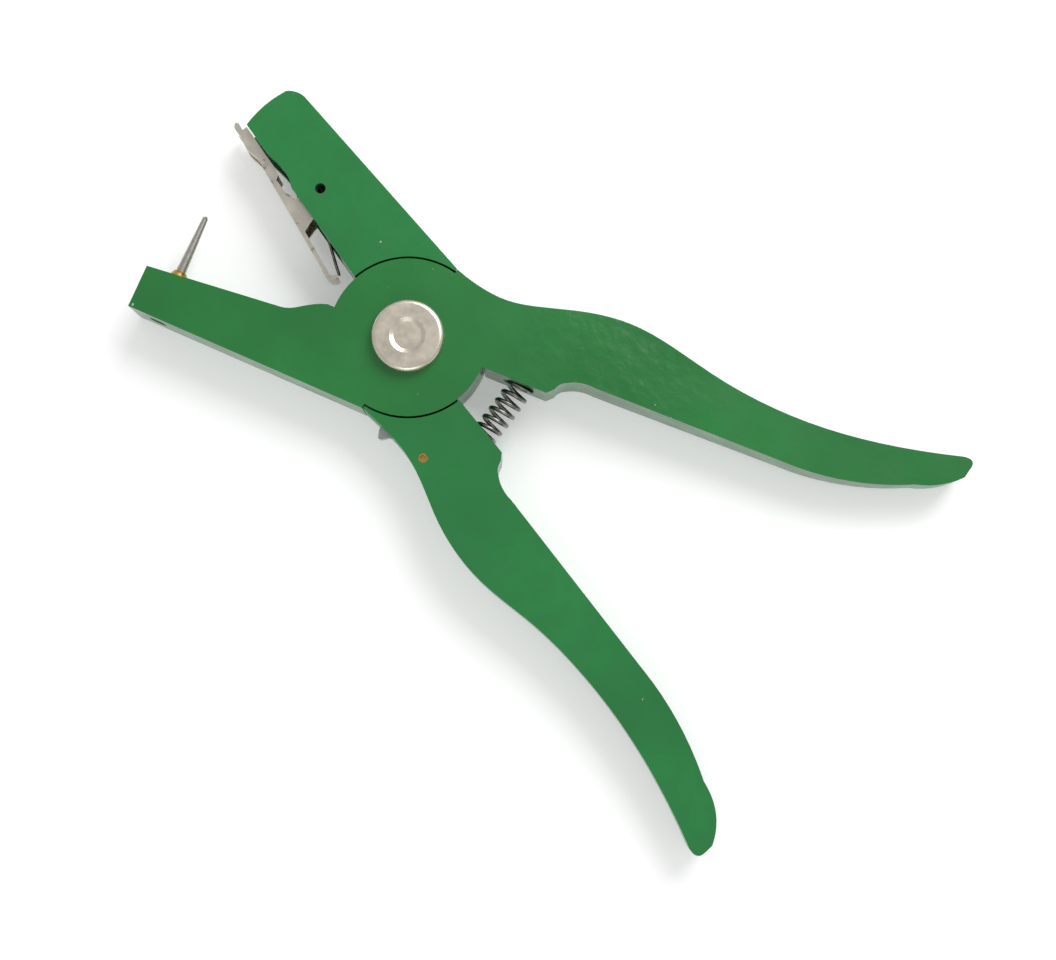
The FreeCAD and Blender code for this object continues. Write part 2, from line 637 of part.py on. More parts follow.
def make_clip():
    """The tag clip: a bent sheet web, two cheeks that go down to the hinge, and a fork slot."""
    body = start_body("tag_clip")
    sheet_metal = size("ClipSheet")
    tip = TIP_ALONG
    outer = flat([(tip + 3.4, 2.2), (tip + 2.6, 3.2), (tip - 1.0, 3.4), (tip - 4.4, 4.0),
                  (tip - 8.0, 3.3), (tip - 12.0, 3.3)])
    inner = [point - Vector(0, sheet_metal, 0) for point in reversed(outer[2:])]
    inner.append(Vector(tip + 2.6, 1.6, 0))
    curl = size("ClipTailReach")
    rise = size("ClipTailRise")
    tail = flat([(curl + 4.8, rise - 0.1), (curl + 1.9, rise + 0.2),
                 (curl + 0.1, rise - 1.0), (curl, rise - 2.6)])
    tail_in = flat([(curl + sheet_metal, rise - 2.6), (curl + 1.3, rise - 1.5),
                    (curl + 2.4, rise - 1.0), (curl + 4.8, rise - 0.1 - sheet_metal)])
    web = start_sketch(body, "clip_web", offset=CLIP_FRAME)
    web.setExpression("AttachmentOffset.Base.z", "Sizes.LeverThickness / 2")
    draw_loop(web, [
        smooth(outer),
        Part.LineSegment(outer[-1], tail[0]),
        smooth(tail),
        Part.LineSegment(tail[-1], tail_in[0]),
        smooth(tail_in),
        Part.LineSegment(tail_in[-1], inner[0]),
        smooth(inner),
        Part.LineSegment(inner[-1], outer[0]),
    ])
    add_pad(body, "clip_web_pad", web, "Sizes.ClipWidth", midplane=True)

    cheek = flat([(tip + 0.4, 0.3), (tip + 0.4, 2.9), (tip - 10.0, 2.8), (tip - 35.0, 4.4),
                  (tip - 33.6, 0.4), (tip - 31.2, -7.4)])
    foot = flat([(tip - 28.0, -9.2)])
    rest = flat([(tip - 25.0, -7.4), (tip - 25.6, 0.8), (tip - 22.2, 2.2), (tip - 17.6, 2.2),
                 (tip - 16.8, 0.9), (tip - 14.0, 0.6)])
    flange = start_sketch(body, "clip_cheeks", offset=CLIP_FRAME)
    flange.setExpression("AttachmentOffset.Base.z", "Sizes.LeverThickness / 2")
    edges = [Part.LineSegment(a, b) for a, b in zip(cheek, cheek[1:])]
    edges.append(Part.Arc(cheek[-1], foot[0], rest[0]))
    edges += [Part.LineSegment(a, b) for a, b in zip(rest, rest[1:] + cheek[:1])]
    draw_loop(flange, edges)
    add_pad(body, "clip_cheeks_pad", flange, "Sizes.ClipWidth", midplane=True)

    inside = start_sketch(body, "clip_inside", offset=CLIP_FRAME)
    inside.setExpression("AttachmentOffset.Base.z", "Sizes.LeverThickness / 2")
    roof = [outer[2], outer[3], outer[4], outer[5]]
    roof = [point - Vector(0, sheet_metal, 0) for point in roof]
    roof_end = tail_in[-1]
    draw_loop(inside, [
        Part.LineSegment(Vector(tip + 0.6, -12, 0), Vector(tip + 0.6, 2.1, 0)),
        Part.LineSegment(Vector(tip + 0.6, 2.1, 0), roof[0]),
        smooth(roof),
        Part.LineSegment(roof[-1], roof_end),
        Part.LineSegment(roof_end, Vector(roof_end.x, -12, 0)),
        Part.LineSegment(Vector(roof_end.x, -12, 0), Vector(tip + 0.6, -12, 0)),
    ])
    cut = add_pocket(body, "clip_inside_cut", inside, "Sizes.ClipWidth - 2 * Sizes.ClipSheet")
    cut.Midplane = True

    for name, rise_of, upward in (("front", "+", True), ("rear", "-", False)):
        side = start_sketch(body, "clip_tongue_" + name, offset=CLIP_FRAME)
        side.setExpression("AttachmentOffset.Base.z",
                           "Sizes.LeverThickness / 2 %s Sizes.ClipTailWidth / 2" % rise_of)
        draw_loop(side, polygon(flat([(curl - 2, 2), (curl + 11, 2), (curl + 11, 9), (curl - 2, 9)])))
        add_pocket(body, "clip_tongue_cut_" + name, side, "Sizes.ClipWidth", reverse=upward)

    fork = start_sketch(body, "clip_fork", offset=CLIP_FRAME)
    fork.setExpression("AttachmentOffset.Base.z", "Sizes.LeverThickness / 2")
    draw_loop(fork, polygon(flat([(tip + 5, 0), (tip + 5, 6), (tip - 13.0, 6), (tip - 13.0, 0)])))
    cut = add_pocket(body, "clip_fork_cut", fork, "Sizes.ClipSlotWidth")
    cut.Midplane = True

    hinge = start_sketch(body, "clip_eye", offset=CLIP_FRAME)
    draw_circle(hinge, (HINGE.x, HINGE.y), "Sizes.RollPinRadius + Sizes.RunningGap")
    add_pocket(body, "clip_eye_cut", hinge)
    return body


# ---------------------------------------------------------------- turned parts and springs

def make_turned_parts():
    top = "Sizes.LeverThickness + Sizes.SeatGap"
    crown = top + " + Sizes.RivetHeadHeight"
    tail = "Sizes.RivetTailSink"
    tail_top = tail + " + Sizes.RivetTailHeight"
    washer_top = tail_top + " + Sizes.SeatGap + Sizes.RearWasherThickness"
    thrust_low = "Sizes.LeverThickness / 2 - Sizes.LapGap / 2 + Sizes.SeatGap"
    thrust_high = "Sizes.LeverThickness / 2 + Sizes.LapGap / 2 + Sizes.ThrustRecess - Sizes.SeatGap"
    shank = "Sizes.RivetShankRadius"
    rivet = turned_part("pivot_rivet", [
        ("0", tail), ("Sizes.RivetTailRadius - 0.8", tail), ("Sizes.RivetTailRadius", tail + " + 0.8"),
        ("Sizes.RivetTailRadius", tail_top), (shank, tail_top), (shank, top),
        ("Sizes.RivetHeadRadius", top), ("Sizes.RivetHeadRadius", crown),
        ("Sizes.RivetDishRadius", crown),
        ("Sizes.RivetDishRadius - 1.2", crown + " - Sizes.RivetDishDepth"),
        ("0", crown + " - Sizes.RivetDishDepth"),
    ])
    round_edges(rivet, "rivet_head_round", "Sizes.RivetHeadRound", lambda edge: (
        isinstance(edge.Curve, Part.Circle)
        and edge.Curve.Radius > size("RivetHeadRadius") - 0.01
        and edge.Curve.Center.z > size("LeverThickness") + 1))
    clear = shank + " + Sizes.RunningGap"
    turned_part("pivot_bushing", [
        (clear, washer_top + " + 0.1"), ("Sizes.BushingRadius", washer_top + " + 0.1"),
        ("Sizes.BushingRadius", "Sizes.LeverThickness - 3.1"), (clear, "Sizes.LeverThickness - 3.1"),
    ])
    turned_part("rear_washer", [
        (clear, tail_top + " + Sizes.SeatGap"), ("Sizes.RearWasherRadius", tail_top + " + Sizes.SeatGap"),
        ("Sizes.RearWasherRadius", washer_top), (clear, washer_top),
    ])
    around = "Sizes.BushingRadius + Sizes.RunningGap"
    turned_part("thrust_washer", [
        (around, thrust_low), ("Sizes.ThrustWasherRadius", thrust_low),
        ("Sizes.ThrustWasherRadius", thrust_high), (around, thrust_high),
    ])
    stem = "Sizes.PinStemRadius"
    turned_part("applicator_pin", [
        ("0", "-Sizes.PinStemLength + 0.1"), (stem, "-Sizes.PinStemLength + 0.1"), (stem, "0.2"),
        ("Sizes.PinRadius", "0.7"), ("Sizes.PinRadius", "Sizes.CollarHeight + 0.4"),
        ("Sizes.PinTipRadius", "Sizes.PinLength - 0.6"),
        ("Sizes.PinTipRadius - 0.45", "Sizes.PinLength"), ("0", "Sizes.PinLength"),
    ], PIN_FRAME_UP)
    turned_part("pin_collar", [
        ("Sizes.PinStemRadius + Sizes.RunningGap", "0.35"), ("Sizes.CollarRadius", "0.35"),
        ("Sizes.CollarRadius", "0.9"), ("Sizes.PinRadius + 0.3", "Sizes.CollarHeight"),
        ("Sizes.PinRadius + Sizes.RunningGap", "Sizes.CollarHeight"),
        ("Sizes.PinRadius + Sizes.RunningGap", "1.3"), ("Sizes.PinStemRadius + Sizes.RunningGap", "0.8"),
    ], PIN_FRAME_UP)
    deep = "-Sizes.PinStemLength"
    turned_part("pin_plug_screw", [
        ("0", deep + " - Sizes.PlugLength + 1.6"), ("1.2", deep + " - Sizes.PlugLength + 1.6"),
        ("1.2", deep + " - Sizes.PlugLength"), ("Sizes.PlugRadius", deep + " - Sizes.PlugLength"),
        ("Sizes.PlugRadius", deep + " - 0.05"), ("0", deep + " - 0.05"),
    ], PIN_FRAME_UP)
    at_hinge = App.Placement(CLIP_FRAME.multVec(HINGE), App.Rotation())
    sink = "Sizes.RollPinSink"
    bore_radius = "Sizes.RollPinRadius - Sizes.RollPinWall"
    turned_part("clip_roll_pin", [
        (bore_radius, sink), ("Sizes.RollPinRadius", sink),
        ("Sizes.RollPinRadius", "Sizes.LeverThickness - Sizes.RollPinSink"),
        (bore_radius, "Sizes.LeverThickness - Sizes.RollPinSink"),
    ], at_hinge)
    at_latch = App.Placement(Vector(-size("LatchAlong"), size("LatchOut"), 0), App.Rotation())
    pin_top = "Sizes.LeverThickness - 0.15"
    turned_part("latch_pin", [
        ("0", "3"), ("Sizes.LatchPinRadius", "3"), ("Sizes.LatchPinRadius", pin_top),
        ("0.75", pin_top), ("0.75", pin_top + " - 0.5"), ("0", pin_top + " - 0.5"),
    ], at_latch)


def make_coil(label, start, axis, length, outside, wire, pitch):
    """A compression spring as a round wire swept along a helix."""
    body = doc.addObject("Part::Feature", label)
    body.Label = label
    middle = outside - wire / 2
    path = Part.makeHelix(pitch, length - wire, middle)
    section = Part.Wire(Part.Circle(Vector(middle, 0, 0), Vector(0, 1, 0), wire / 2).toShape())
    body.Shape = Part.Wire(path).makePipeShell([section], True, True)
    body.Placement = turned_frame(start + axis * (wire / 2), axis)
    return body


def make_springs():
    reach = size("SpringCentre") * math.tan(math.radians(size("SpringFaceAngle")))
    floor = reach + size("SpringPocketDepth") - 0.1
    make_coil("return_spring", Vector(-size("SpringCentre"), -floor, HALF), Vector(0, 1, 0),
              2 * floor, size("SpringRadius"), size("SpringWire"), size("SpringPitch"))
    make_coil("latch_spring", Vector(LATCH_SPRING_X, 15.5, LATCH_MID), Vector(0, 1, 0),
              7.2, 1.4, 0.45, 1.1)
    coil = make_coil("clip_spring", CLIP_FRAME.multVec(HINGE) + UP * (HALF - 2.4), UP,
                     4.8, 2.9, size("ClipWire"), 1.0)
    wire = size("ClipWire") / 2
    centre = CLIP_FRAME.multVec(HINGE)
    around = 2.9 - wire
    legs = []
    for height, side, ends in (
        (HALF - 2.4 + wire, -1, ((0, 1), (-19.5, 9.0), (-21.5, 9.6))),
        (HALF + 2.4 - wire, 1, ((0, -1), (-14.0, -3.2))),
    ):
        points = [Vector(HINGE.x + x * (1 if x else 0), HINGE.y + (y * around if x == 0 else y), 0)
                  for x, y in ends]
        points = [CLIP_FRAME.multVec(point) + UP * height for point in points]
        for a, b in zip(points, points[1:]):
            run = b - a
            legs.append(Part.makeCylinder(wire, run.Length, a, run))
            legs.append(Part.makeSphere(wire, b))
    solid = coil.Shape.fuse(legs).removeSplitter()
    coil.Placement = App.Placement()
    coil.Shape = solid


# ---------------------------------------------------------------- build and write

make_pin_lever()
make_clip_lever()
make_latch()
make_clip()
make_turned_parts()
make_springs()
doc.recompute()

nodes = [
    obj for obj in doc.Objects
    if obj.TypeId in ("PartDesign::Body", "Part::Feature")
]
for obj in doc.Objects:
    if "Invalid" in obj.State or "Error" in obj.State:
        raise RuntimeError("%s failed: %s" % (obj.Label, obj.State))
for node in nodes:
    shape = node.Shape
    if shape.isNull() or not shape.isValid():
        raise RuntimeError("%s has no valid shape" % node.Label)

os.makedirs("parts", exist_ok=True)
for node in nodes:
    node.Shape.exportStep("parts/%s.step" % node.Label)
    triangles = len(node.Shape.tessellate(0.1)[1])
    print("%-18s %2d solid(s) %9.1f mm3 %6d triangles" % (
        node.Label, len(node.Shape.Solids), node.Shape.Volume, triangles))
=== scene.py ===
import math

import bmesh
import bpy
from bpy.props import FloatProperty, FloatVectorProperty, IntProperty, PointerProperty
from mathutils import Matrix, Vector


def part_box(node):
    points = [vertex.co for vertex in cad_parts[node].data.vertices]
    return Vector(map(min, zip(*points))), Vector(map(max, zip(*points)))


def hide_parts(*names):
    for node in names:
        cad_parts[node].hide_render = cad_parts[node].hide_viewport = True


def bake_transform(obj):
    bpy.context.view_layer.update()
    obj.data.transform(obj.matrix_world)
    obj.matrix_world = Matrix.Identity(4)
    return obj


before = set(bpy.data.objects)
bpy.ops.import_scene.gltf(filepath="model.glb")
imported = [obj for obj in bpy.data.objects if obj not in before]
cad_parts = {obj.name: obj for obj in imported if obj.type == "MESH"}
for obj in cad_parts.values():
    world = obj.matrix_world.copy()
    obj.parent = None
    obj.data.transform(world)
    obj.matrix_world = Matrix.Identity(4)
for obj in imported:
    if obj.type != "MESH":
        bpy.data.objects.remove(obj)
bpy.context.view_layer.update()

bl_info = {
    "name": "Ear tag applicator dressing",
    "version": (1, 0, 0),
    "blender": (4, 5, 0),
    "location": "View3D > Sidebar > Applicator",
    "description": "Finishes, stage and return spring of a hand applicator for livestock ear tags",
    "category": "Object",
}

MM = 0.001
UPWARD = Vector((0, 0, 1))

# The camera looks almost straight down on the tool, which lies askew in the picture.
CAMERA_PLACE = (-83.39, 54.40, 558.36)       # mm
CAMERA_RIGHT = (-0.8030, -0.5960, 0.0)       # the way the picture's lower edge runs
CAMERA_TILT = math.radians(5.5)              # off straight down
CAMERA_LENS = 64.77                          # mm
SENSOR_WIDTH = 36.0                          # mm
CLIP_START = 10                              # mm

FLOOR_SIZE = 2000                            # mm
FLOOR_DROP = 0.1                             # mm below the tool's rear face
PAPER_TONE = 0.86
PAPER_LIFT = 0.30                            # glow that brings the floor in view up to white
ROOM_LIGHT = 0.52                            # level of the room where it isn't looked at
WHITE_ROOM = 1.0

LAMP_TARGET = (-30, 0, 0)                    # mm
# name, place (mm), width (mm), power (W)
LAMPS = (
    ("key_softbox", (-20, -620, 620), 550, 5.6),
    ("fill_softbox", (-400, 550, 550), 500, 1.2),
)

CHIP_LEVEL = 0.745                           # the noise above which the enamel is chipped
CHIP_EDGE = 0.015
ENAMEL_GLOSS = (0.24, 0.36)                  # smoothest and roughest enamel
PEEL_DEPTH = 0.06                            # mm
RIPPLE_DEPTH = 0.6                           # mm
RIPPLE_NEAR = 12                             # mm from its centre, where the ripple is full
RIPPLE_FAR = 34                              # mm from its centre, where it has died down
RIPPLE_REST = 0.18                           # what is left of it there
GRIP_ROOT = (-52, -32, 18)                   # mm, where the pin lever's casting ripples most
BELOW_TOOL = (-20, 0, -50)                   # mm, so far off that the clip lever hardly ripples
GRAIN_DEPTH = 0.03                           # mm, in the skin of plated metal
STAIN_EDGE = 0.06

WIRE_SIDES = 12
STEPS_PER_TURN = 28
CLOSED_PITCH = 1.04                          # rise of a closed turn, in wire diameters


def linear(hex_colour):
    """Scene-linear colour, with alpha, from an sRGB hex code."""
    channels = [int(hex_colour[i:i + 2], 16) / 255 for i in (1, 3, 5)]
    return [c / 12.92 if c <= 0.04045 else ((c + 0.055) / 1.055) ** 2.4 for c in channels] + [1.0]


def colour_property(name, hex_colour, description):
    """A colour setting with its sRGB default."""
    return FloatVectorProperty(
        name=name, description=description, subtype="COLOR", size=4, min=0, max=1, default=linear(hex_colour))


def length_property(name, millimetres, description):
    """A length setting with its default in millimetres."""
    return FloatProperty(
        name=name, subtype="DISTANCE", unit="LENGTH", default=millimetres * MM, description=description)


# ---------------------------------------------------------------- settings

class ApplicatorFinishes(bpy.types.PropertyGroup):
    """Colours of the enamel, the bare metals and the nylon."""
    pin_lever_green: colour_property("Pin lever", "#14732F", "Gloss enamel on the lever with the pin")
    clip_lever_green: colour_property("Clip lever", "#137535", "Gloss enamel on the lever with the clip")
    primer: colour_property("Primer", "#B9C4B4", "Grey coat and bare casting where the enamel is chipped")
    nickel: colour_property("Nickel plate", "#E4DCCB", "Warm nickel of the rivet head")
    # Warm cream: partly the nickel's own tint, partly a painted reflection of a warm room.
    clip_nickel: colour_property("Clip plate", "#D9D3C6", "Nickel plate of the sheet clip")
    zinc: colour_property("Zinc plate", "#B9BCBC", "Latch, washer and bushing")
    nylon: colour_property("Nylon", "#D8D6CC", "Milky nylon of the thrust washer")
    nylon_shade: colour_property("Nylon shade", "#C9C6B9", "Its darker patches")
    spring_steel: colour_property("Spring wire", "#8A8984", "Oil-tempered spring wire")
    pin_steel: colour_property("Piercing pin", "#B8B4AC", "Ground stainless steel")
    # Near-black: painted shade standing in for the dark hole that the clip's roll pin sits in.
    roll_pin_painted_shade: colour_property("Roll pin", "#3A3A3A", "Blacked steel of the clip's roll pin")
    brass: colour_property("Brass", "#B79A56", "Collar of the piercing pin and head of the latch pin")
    rust: colour_property("Rust", "#7A4A22", "Thin rust on the collar and the latch pin")


class ApplicatorSizes(bpy.types.PropertyGroup):
    """Sizes of the enamel's patterns and of the return spring."""
    orange_peel: length_property("Orange peel", 1.5, "Distance from crest to crest in the enamel's skin")
    ripple: length_property("Casting ripple", 7.0, "Distance from crest to crest of the casting's waves")
    pooling: length_property("Pooling", 45.0, "Distance over which the enamel's depth drifts")
    mottle: length_property("Mottle", 6.0, "Distance between patches of the dipped coat")
    gloss_patch: length_property("Gloss patches", 12.0, "Distance between smoother and rougher enamel")
    chip_spacing: length_property("Chip spacing", 3.2, "Shortest distance between two chips")
    spring_outside: length_property("Return spring", 8.2, "Outside diameter of the return spring")
    spring_wire: length_property("Spring wire", 1.3, "Diameter of its wire")
    spring_bow: length_property("Spring bow", 0.7, "How far its middle stands out, away from the pivot")
    spring_turns: IntProperty(
        name="Open turns", default=9, min=1, description="Turns between its closed ends")


# ---------------------------------------------------------------- materials

def add_node(tree, kind, inputs=None, **settings):
    """Adds a shader node with its settings; an input given as a socket is linked."""
    made = tree.nodes.new("ShaderNode" + kind)
    for name, value in settings.items():
        setattr(made, name, value)
    for name, value in (inputs or {}).items():
        if isinstance(value, bpy.types.NodeSocket):
            tree.links.new(value, made.inputs[name])
        else:
            made.inputs[name].default_value = value
    return made


def empty_material(name):
    """A material with no nodes yet."""
    material = bpy.data.materials.new(name)
    material.use_nodes = True
    material.node_tree.nodes.clear()
    return material


def start_material(name):
    """A material, its node tree, the principled shader and Object coordinates."""
    material = empty_material(name)
    tree = material.node_tree
    shader = add_node(tree, "BsdfPrincipled")
    add_node(tree, "OutputMaterial", {"Surface": shader.outputs["BSDF"]})
    place = add_node(tree, "TexCoord").outputs["Object"]
    return material, tree, shader, place


def noise(tree, place, wave, detail=2.0, roughness=0.5):
    """Noise whose crests stand about wave metres apart."""
    return add_node(tree, "TexNoise", {
        "Vector": place, "Scale": 1 / wave, "Detail": detail, "Roughness": roughness}).outputs["Fac"]


def ramp(tree, value, low, high, to_low=0.0, to_high=1.0):
    """A clamped linear step of a value."""
    step = add_node(tree, "MapRange", {
        "Value": value, "From Min": low, "From Max": high, "To Min": to_low, "To Max": to_high})
    return step.outputs["Result"]


def blend_colours(tree, factor, first, second):
    """The first colour at factor 0, and the second at 1."""
    return add_node(tree, "Mix", {0: factor, 6: first, 7: second}, data_type="RGBA").outputs[2]


def times(tree, first, second):
    """The product of two values."""
    return add_node(tree, "Math", {0: first, 1: second}, operation="MULTIPLY").outputs[0]


def seen_by(tree, first, *others):
    """1 for the kinds of ray that are named, and 0 for the rest."""
    rays = add_node(tree, "LightPath").outputs
    seen = rays[first]
    for other in others:
        seen = add_node(tree, "Math", {0: seen, 1: rays[other]}, operation="MAXIMUM").outputs[0]
    return seen


def shade(colour, factor):
    """The same colour, lighter or darker."""
    return [min(1.0, c * factor) for c in colour[:3]] + [1.0]


def gloss_enamel(name, green, primer, sizes, ripple_centre):
    """Stoved gloss enamel over a die casting: thick, wet-looking, with orange peel and a few chips."""
    material, tree, shader, place = start_material(name)
    # The coat pools and thins, so the green drifts a little over a few centimetres.
    drift = ramp(tree, noise(tree, place, sizes.pooling, 3.0), 0.35, 0.65)
    body = blend_colours(tree, drift, shade(green, 0.88), shade(green, 1.10))
    # Mottling a few millimetres wide, as in a hand-dipped coat.
    mottle = ramp(tree, noise(tree, place, sizes.mottle, 4.0, 0.6), 0.4, 0.62)
    body = blend_colours(tree, times(tree, mottle, 0.35), body, shade(green, 0.82))
    # Small chips, down to primer.
    worn = noise(tree, place, sizes.chip_spacing, 3.0, 0.65)
    chips = ramp(tree, worn, CHIP_LEVEL, CHIP_LEVEL + CHIP_EDGE)
    body = blend_colours(tree, chips, body, primer)
    tree.links.new(body, shader.inputs["Base Color"])
    rough = ramp(tree, noise(tree, place, sizes.gloss_patch, 4.0), 0.3, 0.7, *ENAMEL_GLOSS)
    tree.links.new(rough, shader.inputs["Roughness"])
    shader.inputs["IOR"].default_value = 1.5
    shader.inputs["Coat Weight"].default_value = 0.25
    shader.inputs["Coat Roughness"].default_value = 0.12
    fine = add_node(tree, "Bump", {
        "Height": noise(tree, place, sizes.orange_peel, 1.5), "Strength": 0.35, "Distance": PEEL_DEPTH * MM})
    # Waves in the casting under the coat, strongest round one place.
    centre = Vector(ripple_centre) * MM
    offset = add_node(tree, "VectorMath", {0: place, 1: centre}, operation="DISTANCE").outputs["Value"]
    near = ramp(tree, offset, RIPPLE_NEAR * MM, RIPPLE_FAR * MM, 1.0, RIPPLE_REST)
    heave = add_node(tree, "Bump", {
        "Height": noise(tree, place, sizes.ripple, 3.0), "Strength": near, "Distance": RIPPLE_DEPTH * MM,
        "Normal": fine.outputs["Normal"]})
    tree.links.new(heave.outputs["Normal"], shader.inputs["Normal"])
    return material


def plated_metal(name, colour, roughness, grain=0.9, spots=None, spot_size=3.5, spot_level=0.66):
    """Plated or bare metal: fine grain in its gloss, a slow drift in tone, and stains if spots is given.

    The grain and spot sizes are in millimetres, and spot_level is the noise above which it is stained.
    """
    material, tree, shader, place = start_material(name)
    drift = ramp(tree, noise(tree, place, 11 * MM, 3.0), 0.35, 0.65)
    body = blend_colours(tree, drift, shade(colour, 0.90), shade(colour, 1.06))
    if spots is not None:
        stain = ramp(tree, noise(tree, place, spot_size * MM, 4.0, 0.6), spot_level, spot_level + STAIN_EDGE)
        body = blend_colours(tree, times(tree, stain, 0.8), body, spots)
    tree.links.new(body, shader.inputs["Base Color"])
    patches = noise(tree, place, 3 * grain * MM, 3.0)
    rough = ramp(tree, patches, 0.3, 0.7, roughness * 0.8, roughness * 1.25)
    tree.links.new(rough, shader.inputs["Roughness"])
    shader.inputs["Metallic"].default_value = 1.0
    skin = add_node(tree, "Bump", {
        "Height": noise(tree, place, grain * MM, 3.0), "Strength": 0.3, "Distance": GRAIN_DEPTH * MM})
    tree.links.new(skin.outputs["Normal"], shader.inputs["Normal"])
    return material


def nylon(name, light, dark):
    """Unfilled moulded nylon: milky and slightly waxy."""
    material, tree, shader, place = start_material(name)
    tone = ramp(tree, noise(tree, place, 4 * MM), 0.3, 0.7)
    tree.links.new(blend_colours(tree, tone, light, dark), shader.inputs["Base Color"])
    shader.inputs["Roughness"].default_value = 0.5
    return material


def white_paper(name):
    """Paper that keeps the tool's shadow, and shines where it is looked at."""
    material = empty_material(name)
    tree = material.node_tree
    paper = add_node(tree, "BsdfDiffuse", {"Color": (PAPER_TONE, PAPER_TONE, PAPER_TONE, 1)})
    seen = seen_by(tree, "Is Camera Ray", "Is Glossy Ray", "Is Transmission Ray")
    lift = add_node(tree, "Emission", {"Color": (1, 1, 1, 1), "Strength": times(tree, seen, PAPER_LIFT)})
    both = add_node(tree, "AddShader", {0: paper.outputs[0], 1: lift.outputs[0]})
    add_node(tree, "OutputMaterial", {"Surface": both.outputs[0]})
    return material


# ---------------------------------------------------------------- pieces

def dress(nodes, material):
    """Gives CAD nodes a material."""
    for name in nodes:
        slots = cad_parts[name].data.materials
        slots.clear()
        slots.append(material)


def new_object(name, shape, material):
    """Makes an object at the origin from a bmesh."""
    mesh = bpy.data.meshes.new(name)
    shape.to_mesh(mesh)
    shape.free()
    mesh.materials.append(material)
    made = bpy.data.objects.new(name, mesh)
    bpy.context.collection.objects.link(made)
    return made


def new_piece(name, shape, material):
    """Makes a smooth object whose faces look outwards."""
    bmesh.ops.recalc_face_normals(shape, faces=shape.faces)
    piece = new_object(name, shape, material)
    piece.data.shade_smooth()
    return piece


def return_coil(low, high, sizes):
    """Round wire wound round the box's middle along Y, with a closed turn at each end."""
    wire = sizes.spring_wire
    radius = (sizes.spring_outside - wire) / 2
    centre = (low + high) / 2
    closed_rise = wire * CLOSED_PITCH
    open_rise = (high.y - low.y) - wire - 2 * closed_rise
    shape = bmesh.new()
    section = bmesh.ops.create_circle(shape, cap_ends=False, radius=wire / 2, segments=WIRE_SIDES)["verts"]
    bmesh.ops.translate(shape, vec=(centre.x + radius, low.y + wire / 2, centre.z), verts=section)
    first_ring = list(shape.edges)
    ring = first_ring
    for turns, rise in ((1, closed_rise), (sizes.spring_turns, open_rise), (1, closed_rise)):
        steps = STEPS_PER_TURN * turns
        made = bmesh.ops.spin(
            shape, geom=ring, cent=(centre.x, 0, centre.z), axis=(0, 1, 0),
            dvec=(0, rise / steps, 0), angle=math.tau * turns, steps=steps)
        ring = [part for part in made["geom_last"] if isinstance(part, bmesh.types.BMEdge)]
    for edges in (first_ring, ring):
        bmesh.ops.contextual_create(shape, geom=edges)
    # The spring bows out, away from the pivot.
    half = (high.y - low.y) / 2
    for vertex in shape.verts:
        along = (vertex.co.y - centre.y) / half
        vertex.co.x -= sizes.spring_bow * (1 - along ** 2)
    return shape


# ---------------------------------------------------------------- operators

class APPLICATOR_OT_stage(bpy.types.Operator):
    """White paper floor, soft studio light and the camera"""
    bl_idname = "applicator.stage"
    bl_label = "Stage"

    def execute(self, context):
        context.scene.view_settings.view_transform = "Standard"
        self.make_floor()
        self.make_world(context.scene)
        self.make_lamps(context)
        self.make_camera(context)
        return {"FINISHED"}

    def make_floor(self):
        shape = bmesh.new()
        bmesh.ops.create_grid(shape, x_segments=1, y_segments=1, size=FLOOR_SIZE * MM)
        bmesh.ops.translate(shape, vec=(0, 0, -FLOOR_DROP * MM), verts=shape.verts)
        floor = new_object("floor", shape, white_paper("white_paper_floor"))

    def make_world(self, scene):
        world = bpy.data.worlds.new("soft_room")
        scene.world = world
        world.use_nodes = True
        tree = world.node_tree
        tree.nodes.clear()
        seen = seen_by(tree, "Is Camera Ray", "Is Transmission Ray")
        level = ramp(tree, seen, 0.0, 1.0, ROOM_LIGHT, WHITE_ROOM)
        room = add_node(tree, "Background", {"Color": (1, 1, 1, 1), "Strength": level})
        add_node(tree, "OutputWorld", {"Surface": room.outputs[0]})

    def make_lamps(self, context):
        target = Vector(LAMP_TARGET) * MM
        for name, place, width, power in LAMPS:
            data = bpy.data.lights.new(name, "AREA")
            data.shape = "SQUARE"
            data.size = width * MM
            data.energy = power
            lamp = bpy.data.objects.new(name, data)
            context.collection.objects.link(lamp)
            lamp.location = Vector(place) * MM
            lamp.rotation_mode = "QUATERNION"
            lamp.rotation_quaternion = (target - lamp.location).to_track_quat("-Z", "Y")

    def make_camera(self, context):
        data = bpy.data.cameras.new("camera")
        data.sensor_width = SENSOR_WIDTH
        data.lens = CAMERA_LENS
        data.clip_start = CLIP_START * MM
        camera = bpy.data.objects.new("camera", data)
        context.collection.objects.link(camera)
        context.scene.camera = camera
        right = Vector(CAMERA_RIGHT)
        level_up = UPWARD.cross(right)
        back = UPWARD * math.cos(CAMERA_TILT) - level_up * math.sin(CAMERA_TILT)
        turned = Matrix((right, back.cross(right), back)).transposed().to_4x4()
        camera.matrix_world = Matrix.Translation(Vector(CAMERA_PLACE) * MM) @ turned


class APPLICATOR_OT_levers(bpy.types.Operator):
    """Gloss green enamel on the two cast levers"""
    bl_idname = "applicator.levers"
    bl_label = "Levers"

    def execute(self, context):
        finish, sizes = context.scene.applicator_finishes, context.scene.applicator_sizes
        dress(["pin_lever"], gloss_enamel(
            "gloss_enamel_pin_lever", finish.pin_lever_green, finish.primer, sizes, GRIP_ROOT))
        dress(["clip_lever"], gloss_enamel(
            "gloss_enamel_clip_lever", finish.clip_lever_green, finish.primer, sizes, BELOW_TOOL))
        return {"FINISHED"}


